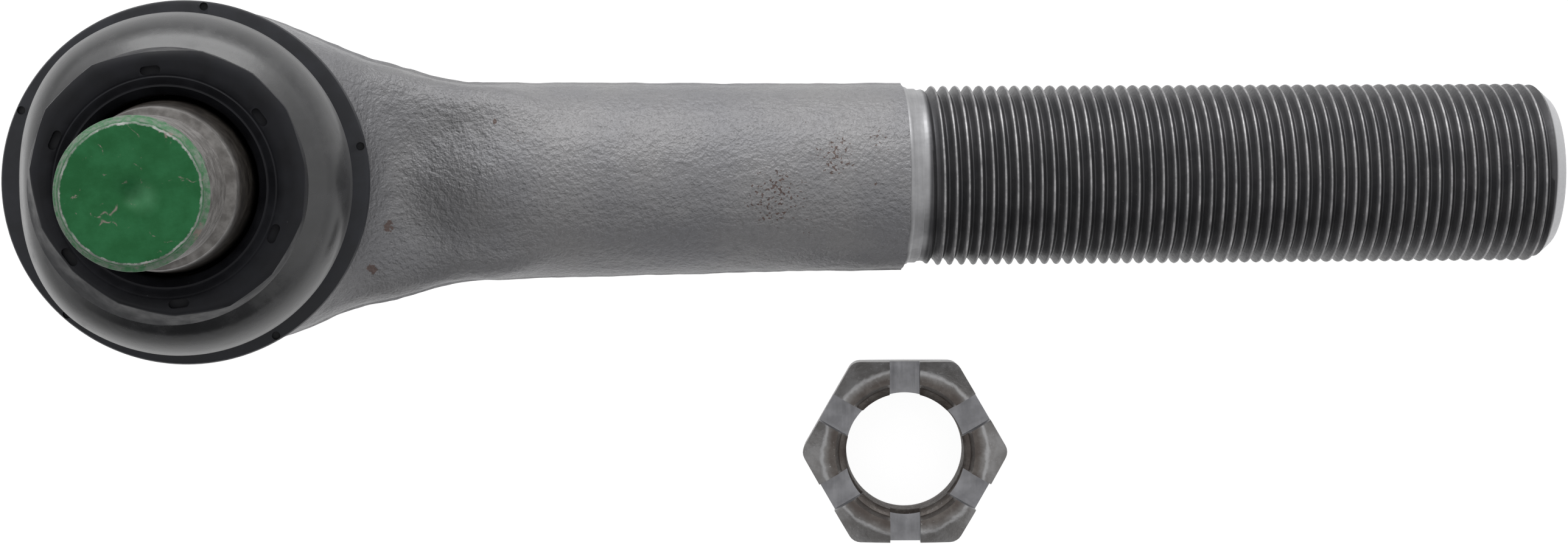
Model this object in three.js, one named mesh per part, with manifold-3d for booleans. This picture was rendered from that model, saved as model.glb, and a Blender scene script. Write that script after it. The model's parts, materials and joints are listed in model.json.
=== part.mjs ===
// Heavy-duty tie rod end: a forged socket with a threaded shank, a full-ball stud, its bearings,
// preload spring and closure, a bonded rubber dust boot, and the loose castellated nut beside it.
// Millimetres. +Z runs along the stud, +X along the shank, and the origin is the centre of the
// closure plate's outer face.
import * as THREE from "three";
import { mergeVertices } from "three/addons/utils/BufferGeometryUtils.js";
import Module from "manifold-3d";

const wasm = await Module();
wasm.setup();

// ---- Driving dimensions ----
const GAP = 0.3; // between pieces that touch on the real object
const BALL_Z = 36.5; // height of the ball's centre and of the shank's axis
const BALL_R = 17.5;
const BALL_GAP = 0.35; // running clearance of the ball in its bearings
const BALL_FLAT_R = 7; // the flat under the ball

const SHANK_END = 229; // from the stud's axis to the end of the thread
const SHANK_R = 16.4;
const THREAD_R = 15.875; // 1 1/4"-12 UNF
const THREAD_START = 123;
const RELIEF_R = 15.2;
const RELIEF_START = 118;
const END_CHAMFER = 3;

const HEAD_R = 28.2;
const HEAD_TOP = BALL_Z + 21.5;
const BEARING_R = 21.2;
const BORE_R = BEARING_R + GAP;
const SHOULDER_Z = BALL_Z + 10.3; // the bore's inner shoulder, over the upper bearing
const MOUTH_R = 19.4; // widest radius of the conical mouth round the stud
const THROAT_R = 15.9;
const SPLIT_Z = BALL_Z - 1.3; // middle of the gap between the two bearings
const NECK_HALF_THICKNESS = 13;

const PLATE_FLANGE_R = 22.1;
const PLATE_FACE_R = 18.6;
const PLATE_TOP = 5.4;
const CRIMP_TOP = 2.4;
const SPRING_WIRE_R = 1.3;
const SPRING_TURNS = 2.25;

const NECK_R = 9.2; // the stud's neck, under the taper
const TAPER_START = BALL_Z + 43; // widest end of the 1:8 taper
const LEDGE_Z = BALL_Z + 70.6; // shoulder at the small end of the taper
const LEDGE_R = 12.25;
const TAPER_SLOPE = 1 / 16; // radius gained for each millimetre down the taper
const STUD_THREAD_R = 11.11; // 7/8"-14 UNF
const STUD_RELIEF_R = 10.3;
const TIP_Z = BALL_Z + 100.4;
const TIP_FACE_R = 9;
const COTTER_HOLE_R = 2.4;
const COTTER_HOLE_Z = TIP_Z - 12;

const BOOT_BASE_Z = HEAD_TOP + GAP;
const BOOT_FLANGE_R = 29.1;
const BOOT_WALL = 2.6;
const CROWN_TOP = BALL_Z + 57;
const CROWN_BASE = BALL_Z + 50.2;
const CROWN_R = 21.1;
const LIP_R = 13.9;
const BULGE_R = 27;
const BULGE_Z = BALL_Z + 35;

const NUT_ACROSS_FLATS = 31.75;
const NUT_HEIGHT = 18;
const NUT_BORE_R = 10.2;
const NUT_SLOT_WIDTH = 5.2;
const NUT_SLOT_DEPTH = 6.5;
const NUT_X = 120.55;
const NUT_Y = -48.7;
// The part lies on its closure and the end of its thread, so the bench leans in this frame.
const BENCH_TILT = 5.69; // degrees about Y
const BENCH_ROLL = 2.68; // degrees about X
const BENCH_DEPTH = 2.1; // distance of the bench below the origin

const SEGMENTS = 40; // round the large turned pieces
const SMALL_SEGMENTS = 32;

const degrees = THREE.MathUtils.degToRad;

// ---- Materials ----
const steel = (color, roughness) => new THREE.MeshStandardMaterial({ color, roughness, metalness: 0.9 });
const soft = (color, roughness) => new THREE.MeshStandardMaterial({ color, roughness, metalness: 0 });
const forgedSteel = steel(0x75767a, 0.6);
const studSteel = steel(0x8d8881, 0.45);
const nutSteel = steel(0x85827e, 0.5);
const stampedSteel = steel(0x6a6c70, 0.5);
const springSteel = steel(0x50545a, 0.4);
const blackRubber = soft(0x1d2126, 0.7);
const bearingPlastic = soft(0xd8d2bf, 0.45);

// ---- Geometry helpers ----
function toSolid(geometry) {
  const bare = geometry.index ? geometry.toNonIndexed() : geometry.clone();
  bare.deleteAttribute("normal");
  bare.deleteAttribute("uv");
  const merged = mergeVertices(bare, 1e-3);
  return new wasm.Manifold(
    new wasm.Mesh({
      numProp: 3,
      vertProperties: merged.attributes.position.array,
      triVerts: new Uint32Array(merged.index.array),
    }),
  );
}

function toGeometry(solid) {
  const mesh = solid.getMesh();
  return new THREE.BufferGeometry()
    .setAttribute("position", new THREE.BufferAttribute(new Float32Array(mesh.vertProperties), 3))
    .setIndex(new THREE.BufferAttribute(new Uint32Array(mesh.triVerts), 1));
}

// A solid of revolution about Z from [radius, height] pairs, listed upwards along its outside.
function turned(profile, segments = SEGMENTS) {
  const points = profile.map(([radius, height]) => new THREE.Vector2(radius, height));
  return new THREE.LatheGeometry(points, segments).rotateX(Math.PI / 2);
}

// The same, for a ring: the profile runs up the outside and down the inside, and closes.
function turnedRing(profile, segments = SEGMENTS) {
  return turned([...profile, profile[0]], segments);
}

// [radius, height] pairs along an arc of a circle in the profile plane, centred at a given height.
function profileArc(centreR, centreZ, radius, fromDegrees, toDegrees, steps) {
  const points = [];
  for (let i = 0; i <= steps; i++) {
    const angle = degrees(THREE.MathUtils.lerp(fromDegrees, toDegrees, i / steps));
    points.push([centreR + radius * Math.cos(angle), centreZ + radius * Math.sin(angle)]);
  }
  return points;
}

const angleAtRadius = (radius, sphere) => THREE.MathUtils.radToDeg(Math.acos(radius / sphere));
const angleAtHeight = (height, sphere) => THREE.MathUtils.radToDeg(Math.asin(height / sphere));

const group = new THREE.Group();

function addPiece(name, geometry, material, parent = group) {
  geometry.computeVertexNormals();
  const mesh = new THREE.Mesh(geometry, material);
  mesh.name = name;
  parent.add(mesh);
  return mesh;
}

// ---- Socket housing: forged head, neck and shank in one piece ----
function headSolid() {
  return toSolid(
    turned([
      [0, 0.6],
      [24.2, 0.6],
      [25.6, 2],
      [HEAD_R - 0.4, 9],
      [HEAD_R, BALL_Z],
      [HEAD_R - 0.6, HEAD_TOP - 3.5],
      [26.4, HEAD_TOP],
      [0, HEAD_TOP],
    ]),
  );
}

function neckSolid() {
  const outline = new THREE.Shape();
  outline.moveTo(0, -24);
  outline.lineTo(10, -25.6);
  outline.bezierCurveTo(24, -22.5, 36, -16.6, 50, -SHANK_R);
  outline.lineTo(58, -SHANK_R + 1.5);
  outline.lineTo(58, SHANK_R - 1.5);
  outline.lineTo(50, SHANK_R);
  outline.bezierCurveTo(36, 16.6, 24, 22.5, 10, 25.6);
  outline.lineTo(0, 24);
  outline.closePath();
  const bevel = 6;
  const geometry = new THREE.ExtrudeGeometry(outline, {
    depth: 2 * (NECK_HALF_THICKNESS - bevel),
    bevelEnabled: true,
    bevelThickness: bevel,
    bevelSize: bevel,
    bevelOffset: -bevel,
    bevelSegments: 3,
    curveSegments: 8,
  });
  return toSolid(geometry.translate(0, 0, BALL_Z - NECK_HALF_THICKNESS + bevel));
}

function shankSolid() {
  const geometry = turned([
    [0, 30],
    [13.6, 30],
    [SHANK_R, 52],
    [SHANK_R, RELIEF_START - 1.2],
    [RELIEF_R, RELIEF_START],
    [RELIEF_R, THREAD_START],
    [THREAD_R, THREAD_START + 1],
    [THREAD_R, SHANK_END - END_CHAMFER],
    [THREAD_R - 2, SHANK_END],
    [0, SHANK_END],
  ]);
  return toSolid(geometry.rotateY(Math.PI / 2).translate(0, 0, BALL_Z));
}

function socketBore() {
  return toSolid(
    turned([
      [0, -1],
      [PLATE_FACE_R + GAP, -1],
      [PLATE_FACE_R + GAP, CRIMP_TOP],
      [PLATE_FLANGE_R + GAP, CRIMP_TOP],
      [PLATE_FLANGE_R + GAP, 8.2],
      [BORE_R, 8.8],
      [BORE_R, SHOULDER_Z],
      [THROAT_R, SHOULDER_Z],
      [MOUTH_R, HEAD_TOP + 1],
      [0, HEAD_TOP + 1],
    ]),
  );
}

const housing = headSolid().add(neckSolid()).add(shankSolid()).subtract(socketBore());
addPiece("socket_housing", toGeometry(housing), forgedSteel);

// ---- Ball stud ----
function studProfile() {
  const taperRadius = (height) => LEDGE_R + (LEDGE_Z - height) * TAPER_SLOPE;
  const flatAngle = -angleAtRadius(BALL_FLAT_R, BALL_R);
  const neckAngle = angleAtRadius(NECK_R, BALL_R);
  return [
    [0, BALL_Z + BALL_R * Math.sin(degrees(flatAngle))],
    ...profileArc(0, BALL_Z, BALL_R, flatAngle, neckAngle, 13),
    [NECK_R, BALL_Z + 30],
    [NECK_R + 1.4, BALL_Z + 36],
    [taperRadius(TAPER_START) - 0.8, TAPER_START - 1],
    [taperRadius(TAPER_START), TAPER_START],
    [LEDGE_R, LEDGE_Z - 0.4],
    [LEDGE_R - 0.4, LEDGE_Z],
    [STUD_RELIEF_R, LEDGE_Z],
    [STUD_RELIEF_R, LEDGE_Z + 2.2],
    [STUD_THREAD_R, LEDGE_Z + 3.2],
    [STUD_THREAD_R, TIP_Z - 2],
    [TIP_FACE_R, TIP_Z],
    [1.6, TIP_Z],
    [0, TIP_Z - 0.9],
  ];
}

const cotterHole = toSolid(
  new THREE.CylinderGeometry(COTTER_HOLE_R, COTTER_HOLE_R, 3 * STUD_THREAD_R, 16).translate(
    0,
    0,
    COTTER_HOLE_Z,
  ),
);
const stud = toSolid(turned(studProfile(), SMALL_SEGMENTS)).subtract(cotterHole);
addPiece("ball_stud", toGeometry(stud), studSteel);

// ---- Bearings, seat, spring and closure, from the ball down ----
const cupRadius = BALL_R + BALL_GAP;
const upperCupTop = SHOULDER_Z - GAP;
const upperCupBottom = SPLIT_Z + GAP;
addPiece(
  "upper_bearing",
  turnedRing([
    [BEARING_R, upperCupBottom],
    [BEARING_R, upperCupTop],
    ...profileArc(
      0,
      BALL_Z,
      cupRadius,
      angleAtHeight(upperCupTop - BALL_Z, cupRadius),
      angleAtHeight(upperCupBottom - BALL_Z, cupRadius),
      6,
    ),
  ]),
  bearingPlastic,
);

const lowerCupTop = SPLIT_Z - GAP;
const lowerCupBottom = BALL_Z - 20.5;
const greaseHoleR = 5;
addPiece(
  "lower_bearing",
  turnedRing([
    [greaseHoleR, lowerCupBottom],
    [BEARING_R - 1, lowerCupBottom],
    [BEARING_R, lowerCupBottom + 1],
    [BEARING_R, lowerCupTop],
    ...profileArc(
      0,
      BALL_Z,
      cupRadius,
      angleAtHeight(lowerCupTop - BALL_Z, cupRadius),
      -angleAtRadius(greaseHoleR, cupRadius),
      9,
    ),
  ]),
  bearingPlastic,
);

const seatTop = lowerCupBottom - GAP;
const seatThickness = 1.6;
addPiece(
  "spring_seat",
  turnedRing([
    [3, seatTop - seatThickness],
    [16.5, seatTop - seatThickness],
    [16.5, seatTop],
    [3, seatTop],
  ]),
  stampedSteel,
);

// Conical coil: it narrows as it climbs from the closure plate to the seat.
class ConicalCoil extends THREE.Curve {
  constructor(bottomR, topR, bottomZ, topZ, turns) {
    super();
    Object.assign(this, { bottomR, topR, bottomZ, topZ, turns });
  }
  getPoint(t, target = new THREE.Vector3()) {
    const angle = 2 * Math.PI * this.turns * t;
    const radius = THREE.MathUtils.lerp(this.bottomR, this.topR, t);
    const height = THREE.MathUtils.lerp(this.bottomZ, this.topZ, t);
    return target.set(radius * Math.cos(angle), radius * Math.sin(angle), height);
  }
}

const coil = new ConicalCoil(
  14.5,
  9.5,
  PLATE_TOP + GAP + SPRING_WIRE_R,
  seatTop - seatThickness - GAP - SPRING_WIRE_R,
  SPRING_TURNS,
);
const wireSection = new THREE.Shape().absarc(0, 0, SPRING_WIRE_R, 0, 2 * Math.PI);
addPiece(
  "preload_spring",
  new THREE.ExtrudeGeometry(wireSection, { extrudePath: coil, steps: 40, curveSegments: 4 }),
  springSteel,
);

addPiece(
  "closure_plate",
  turned([
    [0, 0],
    [PLATE_FACE_R - 0.5, 0],
    [PLATE_FACE_R, 0.5],
    [PLATE_FACE_R, CRIMP_TOP + GAP],
    [PLATE_FLANGE_R, CRIMP_TOP + GAP],
    [PLATE_FLANGE_R, PLATE_TOP],
    [0, PLATE_TOP],
  ]),
  stampedSteel,
);

const sealSectionR = 0.9;
const sealRing = profileArc(21, PLATE_TOP + GAP + sealSectionR, sealSectionR, -90, 270, 8);
sealRing.pop();
addPiece("closure_seal", turnedRing(sealRing, SMALL_SEGMENTS), blackRubber);

// ---- Dust boot with its two bonded steel rings ----
const insertThickness = 1;
const baseInsertInnerR = 21.2;
const baseInsertOuterR = 27.4;
const crownInsertInnerR = 15.6;
const crownInsertOuterR = 19.2;

// The wall's outer face: a smooth bulge from the flange's cove up to the crown's outer edge.
function bootWall(inset) {
  const curve = new THREE.CatmullRomCurve3(
    [
      [25.4, BOOT_BASE_Z + 3.4],
      [26.3, BALL_Z + 29],
      [BULGE_R, BULGE_Z],
      [26.2, BALL_Z + 41],
      [CROWN_R + 2.6, BALL_Z + 46],
      [CROWN_R - 0.2, CROWN_BASE - 0.6],
    ].map(([radius, height]) => new THREE.Vector3(radius, 0, height)),
  );
  return curve.getPoints(8).map((point, i, all) => {
    const before = all[Math.max(i - 1, 0)];
    const after = all[Math.min(i + 1, all.length - 1)];
    const slope = after.clone().sub(before).normalize();
    return [point.x - inset * slope.z, point.z + inset * slope.x];
  });
}

const bootProfile = [
  // underside of the flange, with the groove that holds the base ring
  [20.2, BOOT_BASE_Z],
  [baseInsertInnerR - GAP, BOOT_BASE_Z],
  [baseInsertInnerR - GAP, BOOT_BASE_Z + insertThickness + GAP],
  [baseInsertOuterR + GAP, BOOT_BASE_Z + insertThickness + GAP],
  [baseInsertOuterR + GAP, BOOT_BASE_Z],
  [BOOT_FLANGE_R - 0.4, BOOT_BASE_Z],
  [BOOT_FLANGE_R, BOOT_BASE_Z + 0.5],
  [BOOT_FLANGE_R, BOOT_BASE_Z + 2.4],
  [BOOT_FLANGE_R - 0.6, BOOT_BASE_Z + 2.9],
  [26, BOOT_BASE_Z + 2.9],
  ...bootWall(0),
  // crown
  [CROWN_R, CROWN_BASE + 0.5],
  [CROWN_R, CROWN_TOP - 0.8],
  [CROWN_R - 0.8, CROWN_TOP],
  [17.3, CROWN_TOP],
  [16.8, CROWN_TOP - 1],
  [LIP_R, CROWN_TOP - 2],
  [LIP_R, CROWN_BASE],
  // groove that holds the crown ring
  [crownInsertInnerR - GAP, CROWN_BASE],
  [crownInsertInnerR - GAP, CROWN_BASE + insertThickness + 2 * GAP],
  [crownInsertOuterR + GAP, CROWN_BASE + insertThickness + 2 * GAP],
  [crownInsertOuterR + GAP, CROWN_BASE - 0.6],
  ...bootWall(BOOT_WALL).reverse().slice(1),
  [20.2, BOOT_BASE_Z + 2.9],
];
addPiece("dust_boot", turnedRing(bootProfile), blackRubber);

addPiece(
  "boot_base_insert",
  turnedRing([
    [baseInsertInnerR, BOOT_BASE_Z],
    [baseInsertOuterR, BOOT_BASE_Z],
    [baseInsertOuterR, BOOT_BASE_Z + insertThickness],
    [baseInsertInnerR, BOOT_BASE_Z + insertThickness],
  ]),
  stampedSteel,
);

addPiece(
  "boot_crown_insert",
  turnedRing(
    [
      [crownInsertInnerR, CROWN_BASE + GAP],
      [crownInsertOuterR, CROWN_BASE + GAP],
      [crownInsertOuterR, CROWN_BASE + GAP + insertThickness],
      [crownInsertInnerR, CROWN_BASE + GAP + insertThickness],
    ],
    SMALL_SEGMENTS,
  ),
  stampedSteel,
);

// ---- Castellated nut, loose on the bench ----
function nutSolid() {
  const cornerR = NUT_ACROSS_FLATS / 2 / Math.cos(Math.PI / 6);
  const hexagon = new THREE.CylinderGeometry(cornerR, cornerR, NUT_HEIGHT, 6)
    .rotateX(Math.PI / 2)
    .rotateZ(Math.PI / 6)
    .translate(0, 0, NUT_HEIGHT / 2);
  // Turned envelope: chamfers take the hexagon's corners off at both faces.
  const faceR = NUT_ACROSS_FLATS / 2 - 0.2;
  const chamfer = cornerR + 0.2 - faceR;
  const envelope = turned([
    [NUT_BORE_R + 1, 0],
    [faceR, 0],
    [faceR + chamfer, 0.55 * chamfer],
    [faceR + chamfer, NUT_HEIGHT - 0.75 * chamfer],
    [faceR, NUT_HEIGHT],
    [NUT_BORE_R + 1.2, NUT_HEIGHT],
    [NUT_BORE_R, NUT_HEIGHT - 1.2],
    [NUT_BORE_R, 1],
    [NUT_BORE_R + 1, 0],
  ]);
  let nut = toSolid(hexagon).intersect(toSolid(envelope));
  for (let slot = 0; slot < 3; slot++) {
    const cutter = new THREE.BoxGeometry(NUT_SLOT_WIDTH, 3 * NUT_ACROSS_FLATS, 2 * NUT_SLOT_DEPTH)
      .translate(0, 0, NUT_HEIGHT)
      .rotateZ((slot * Math.PI) / 3);
    nut = nut.subtract(toSolid(cutter));
  }
  return nut;
}

const bench = new THREE.Group();
bench.rotation.order = "YXZ";
bench.rotation.set(degrees(-BENCH_ROLL), degrees(-BENCH_TILT), 0);
const benchNormal = new THREE.Vector3(0, 0, 1).applyEuler(bench.rotation);
const nutZ = (-BENCH_DEPTH - benchNormal.x * NUT_X - benchNormal.y * NUT_Y) / benchNormal.z;
bench.position.set(NUT_X, NUT_Y, nutZ);
group.add(bench);
addPiece("castle_nut", toGeometry(nutSolid()), nutSteel, bench);

export default group;
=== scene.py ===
"""Looks for the heavy-duty tie rod end: a shot-blasted forging with a rolled thread, a ball stud with a
painted tip, a rubber dust boot, and the loose castellated nut. Design numbers are in millimetres."""
import json
import math

import bmesh
import bpy
import numpy as np
from mathutils import Euler, Matrix, Vector, noise


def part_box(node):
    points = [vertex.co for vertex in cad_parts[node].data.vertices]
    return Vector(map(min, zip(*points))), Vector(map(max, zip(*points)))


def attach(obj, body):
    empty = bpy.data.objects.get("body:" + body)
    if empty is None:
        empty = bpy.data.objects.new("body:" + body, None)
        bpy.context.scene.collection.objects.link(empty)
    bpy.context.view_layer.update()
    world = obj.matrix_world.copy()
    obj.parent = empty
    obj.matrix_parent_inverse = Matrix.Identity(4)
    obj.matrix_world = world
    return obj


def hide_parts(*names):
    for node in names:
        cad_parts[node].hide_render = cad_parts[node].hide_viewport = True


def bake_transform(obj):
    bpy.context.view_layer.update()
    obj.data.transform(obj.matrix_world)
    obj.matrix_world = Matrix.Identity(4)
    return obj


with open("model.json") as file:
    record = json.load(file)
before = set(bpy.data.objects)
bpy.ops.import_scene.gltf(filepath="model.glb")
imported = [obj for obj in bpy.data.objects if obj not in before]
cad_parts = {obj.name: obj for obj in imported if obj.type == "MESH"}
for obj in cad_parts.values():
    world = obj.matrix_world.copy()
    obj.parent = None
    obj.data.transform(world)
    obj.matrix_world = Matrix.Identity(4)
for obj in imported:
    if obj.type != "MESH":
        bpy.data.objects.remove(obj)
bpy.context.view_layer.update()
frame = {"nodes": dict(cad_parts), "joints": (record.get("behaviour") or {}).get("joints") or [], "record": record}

MM = 0.001

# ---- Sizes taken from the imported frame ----
joints = {joint["name"]: joint for joint in frame["joints"]}
housing_low, housing_high = (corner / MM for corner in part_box("socket_housing"))
boot_low, boot_high = (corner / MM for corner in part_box("dust_boot"))
stud_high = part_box("ball_stud")[1] / MM

BALL_Z = joints["stud_tilt_y"]["pos_m"][2] / MM
BALL_R = stud_high.x
SHANK_END = housing_high.x
HEAD_TOP = housing_high.z
HEAD_BOTTOM = housing_low.z
HEAD_R = -housing_low.x
TIP_Z = stud_high.z
BOOT_BASE = boot_low.z
CROWN_TOP = boot_high.z
FLANGE_R = boot_high.x
PLATE_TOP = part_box("closure_plate")[1].z / MM
SEAM_Z = BALL_Z + 35  # widest place of the boot, where its lower and upper halves meet

# ---- Shank and threads ----
SHANK_STEP = 117.4  # where the forging ends and turning starts
COLLAR_R = 14.75
SHANK_PITCH = 2.03
SHANK_CREST_R = 15.2
SHANK_THREAD_START = 119.9
SHANK_TIP = SHANK_END - 0.3
SHANK_CHAMFER_R = 12.9  # where the end chamfer meets the end face
STUD_PITCH = 1.75
STUD_CREST_R = 10.8
# One pitch of a rolled thread: [share of the pitch, share of the depth].
THREAD_FORM = (
    (0.00, 0.05), (0.07, 0.0), (0.15, 0.05), (0.30, 0.56),
    (0.43, 0.95), (0.50, 1.0), (0.57, 0.95), (0.83, 0.5),
)
THREAD_DEPTH = 0.6  # of the pitch
TIP_FACE_R = 9.7  # the stud's flat end face

# ---- Bench and camera ----
BENCH_TILT = 5.69  # degrees about Y: the part lies on its closure and the end of its thread
BENCH_ROLL = 2.68  # degrees about X
BENCH_DEPTH = 2.1  # below the frame's origin, square to the bench
BENCH_REACH = 4000
CAMERA_TILT = 4.467  # degrees about Y
CAMERA_PITCH = 2.731  # degrees about X
CAMERA_ROLL = -0.264  # degrees about the line of sight
BALL_IN_VIEW = (-97.26, 15.70, 556.3)  # the ball's centre: right, up and ahead of the camera
FOCAL_SHARE = 5480 / 2576  # focal length over the picture's width
SENSOR = 36.0


def rotation(x=0.0, y=0.0, z=0.0):
    """A rotation matrix from degrees about X, Y and Z."""
    return Euler((math.radians(x), math.radians(y), math.radians(z))).to_matrix()


bench_turn = rotation(y=-BENCH_TILT) @ rotation(x=-BENCH_ROLL)


# ---- Mesh helpers ----
class Surface:
    """Vertices and faces gathered from several patches, in millimetres."""

    def __init__(self):
        self.vertices = []
        self.faces = []

    def add_rows(self, rows, seam_shift=0):
        """A patch from rows of points round the axis. Where a turn closes, row i meets row
        i + seam_shift, and the last seam_shift rows stay open."""
        start = len(self.vertices)
        count = len(rows[0])
        closed_rows = len(rows) - 1 - seam_shift
        for row in rows:
            self.vertices.extend(row)
        for i in range(len(rows) - 1):
            for j in range(count if i < closed_rows else count - 1):
                ahead = i + (seam_shift if j == count - 1 else 0)
                here = start + i * count + j
                there = start + ahead * count + (j + 1) % count
                self.faces.append((here, there, there + count, here + count))


def rings(profile, columns):
    """The rows of a turned shape whose outline is a list of [radius, height]."""
    angles = np.arange(columns) * 2 * math.pi / columns
    return [[(r * math.cos(a), r * math.sin(a), z) for a in angles] for r, z in profile]


def add_object(name, data):
    obj = bpy.data.objects.new(name, data)
    bpy.context.scene.collection.objects.link(obj)
    return obj


def make_object(name, vertices, faces, materials, sharp=35.0, weld=0.002):
    """A closed mesh object in metres from millimetre points, welded, with outward faces."""
    mesh = bpy.data.meshes.new(name)
    mesh.from_pydata((np.asarray(vertices, float) * MM).tolist(), [], [tuple(f) for f in faces])
    bm = bmesh.new()
    bm.from_mesh(mesh)
    if weld:
        bmesh.ops.remove_doubles(bm, verts=bm.verts, dist=weld * MM)
    bmesh.ops.recalc_face_normals(bm, faces=bm.faces)
    bm.to_mesh(mesh)
    bm.free()
    for material in materials:
        mesh.materials.append(material)
    obj = add_object(name, mesh)
    finish_shading(obj, sharp)
    return obj


def finish_shading(obj, sharp=35.0):
    mesh = obj.data
    mesh.polygons.foreach_set("use_smooth", [True] * len(mesh.polygons))
    mesh.set_sharp_from_angle(angle=math.radians(sharp))
    mesh.update()


def turned_object(name, profile, columns, materials):
    surface = Surface()
    surface.add_rows(rings(profile, columns))
    return make_object(name, surface.vertices, surface.faces, materials)


def prism(name, outline, low, high, materials):
    """An upright block with a flat outline, from height low to height high."""
    rows = [[(x, y, z) for x, y in outline] for z in (low, high)]
    surface = Surface()
    surface.add_rows([[(0, 0, low)] * len(outline), *rows, [(0, 0, high)] * len(outline)])
    return make_object(name, surface.vertices, surface.faces, materials)


def place(obj, turn, offset):
    """Turns and moves a mesh's vertices; the object itself stays at the origin."""
    obj.data.transform(Matrix.Translation(Vector(offset) * MM) @ turn.to_4x4())
    obj.data.update()


def apply_modifiers(obj):
    depsgraph = bpy.context.evaluated_depsgraph_get()
    result = bpy.data.meshes.new_from_object(obj.evaluated_get(depsgraph), depsgraph=depsgraph)
    obj.modifiers.clear()
    old = obj.data
    result.name = old.name
    obj.data = result
    bpy.data.meshes.remove(old)


def boolean(obj, tool, operation="DIFFERENCE"):
    modifier = obj.modifiers.new("boolean", "BOOLEAN")
    modifier.operation = operation
    modifier.solver = "EXACT"
    modifier.material_mode = "TRANSFER"
    modifier.object = tool
    apply_modifiers(obj)
    bpy.data.objects.remove(tool)


def slice_flat(obj, point, normal):
    """Cuts off what lies on the normal's side of a plane and caps the cut."""
    bm = bmesh.new()
    bm.from_mesh(obj.data)
    cut = bmesh.ops.bisect_plane(
        bm,
        geom=bm.verts[:] + bm.edges[:] + bm.faces[:],
        plane_co=Vector(point) * MM,
        plane_no=normal,
        clear_outer=True,
    )
    rim = [e for e in cut["geom_cut"] if isinstance(e, bmesh.types.BMEdge)]
    bmesh.ops.holes_fill(bm, edges=rim)
    bmesh.ops.recalc_face_normals(bm, faces=bm.faces)
    bm.to_mesh(obj.data)
    bm.free()


def arc(centre_r, centre_z, radius, start, end, steps):
    angles = np.radians(np.linspace(start, end, steps + 1))
    return [(centre_r + radius * math.cos(a), centre_z + radius * math.sin(a)) for a in angles]


def smoothstep(low, high, value):
    """0 at low to 1 at high, which may lie either way round."""
    t = np.clip((value - low) / (high - low), 0, 1)
    return t * t * (3 - 2 * t)


# ---- Shader helpers ----
class Nodes:
    """A short way to write a material's node tree. Coordinates are the row frame in millimetres."""

    def __init__(self, name):
        self.material = bpy.data.materials.new(name)
        self.material.use_nodes = True
        self.tree = self.material.node_tree
        self.bsdf = self.tree.nodes["Principled BSDF"]
        coordinates = self.tree.nodes.new("ShaderNodeTexCoord")
        scale = self.tree.nodes.new("ShaderNodeVectorMath")
        scale.operation = "SCALE"
        scale.inputs["Scale"].default_value = 1 / MM
        self.link(coordinates.outputs["Object"], scale.inputs[0])
        self.place = scale.outputs[0]

    def link(self, output, socket):
        self.tree.links.new(output, socket)

    def put(self, socket, value):
        if isinstance(value, bpy.types.NodeSocket):
            self.link(value, socket)
        elif isinstance(value, tuple) and len(value) == 3 and socket.type == "RGBA":
            socket.default_value = (*value, 1)
        else:
            socket.default_value = value

    def set(self, **values):
        for name, value in values.items():
            self.put(self.bsdf.inputs[name.replace("_", " ")], value)

    def noise(self, size, detail=3.0, rough=0.5, place=None):
        """Noise whose blotches are about size millimetres across, 0 to 1."""
        node = self.tree.nodes.new("ShaderNodeTexNoise")
        self.link(place or self.place, node.inputs["Vector"])
        node.inputs["Scale"].default_value = 1 / size
        node.inputs["Detail"].default_value = detail
        node.inputs["Roughness"].default_value = rough
        return node.outputs["Fac"]

    def stretch(self, x, y, z):
        return self.vector("MULTIPLY", self.place, (x, y, z))

    def axis(self, letter):
        node = self.tree.nodes.new("ShaderNodeSeparateXYZ")
        self.link(self.place, node.inputs[0])
        return node.outputs[letter]

    def distance(self, point, place=None):
        return self.vector("DISTANCE", place or self.place, point)

    def math(self, operation, a, b=0.0):
        node = self.tree.nodes.new("ShaderNodeMath")
        node.operation = operation
        for socket, value in zip(node.inputs, (a, b)):
            self.put(socket, value)
        return node.outputs[0]

    def times(self, a, b):
        return self.math("MULTIPLY", a, b)

    def either(self, a, b):
        """The larger of two shares."""
        return self.math("MAXIMUM", a, b)

    def span(self, value, low, high, out_low=0.0, out_high=1.0):
        """Maps low..high smoothly to out_low..out_high, clamped."""
        node = self.tree.nodes.new("ShaderNodeMapRange")
        node.interpolation_type = "SMOOTHSTEP"
        for socket, number in zip(node.inputs[:5], (value, low, high, out_low, out_high)):
            self.put(socket, number)
        return node.outputs[0]

    def mix(self, share, a, b):
        node = self.tree.nodes.new("ShaderNodeMix")
        node.data_type = "RGBA"
        self.put(node.inputs["Factor"], share)
        for socket, value in zip([s for s in node.inputs if s.type == "RGBA"], (a, b)):
            self.put(socket, value)
        return next(s for s in node.outputs if s.type == "RGBA")

    def from_axis(self, point, direction):
        """Distance from the line through a point along a unit direction."""
        offset = self.vector("SUBTRACT", self.place, point)
        return self.vector("LENGTH", self.vector("CROSS_PRODUCT", offset, direction))

    def vector(self, operation, a, b=None):
        node = self.tree.nodes.new("ShaderNodeVectorMath")
        node.operation = operation
        self.put(node.inputs[0], a)
        if b is not None:
            self.put(node.inputs[1], b)
        return node.outputs["Value" if operation in ("DISTANCE", "LENGTH") else "Vector"]

    def attribute(self, name):
        node = self.tree.nodes.new("ShaderNodeAttribute")
        node.attribute_name = name
        return node.outputs["Fac"]

    def bump(self, height, depth, strength=1.0, under=None):
        """Bump from a 0 to 1 height that stands for depth millimetres."""
        node = self.tree.nodes.new("ShaderNodeBump")
        node.inputs["Strength"].default_value = strength
        node.inputs["Distance"].default_value = depth * MM
        self.link(height, node.inputs["Height"])
        if under is not None:
            self.link(under, node.inputs["Normal"])
        self.link(node.outputs["Normal"], self.bsdf.inputs["Normal"])
        return node.outputs["Normal"]


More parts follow.
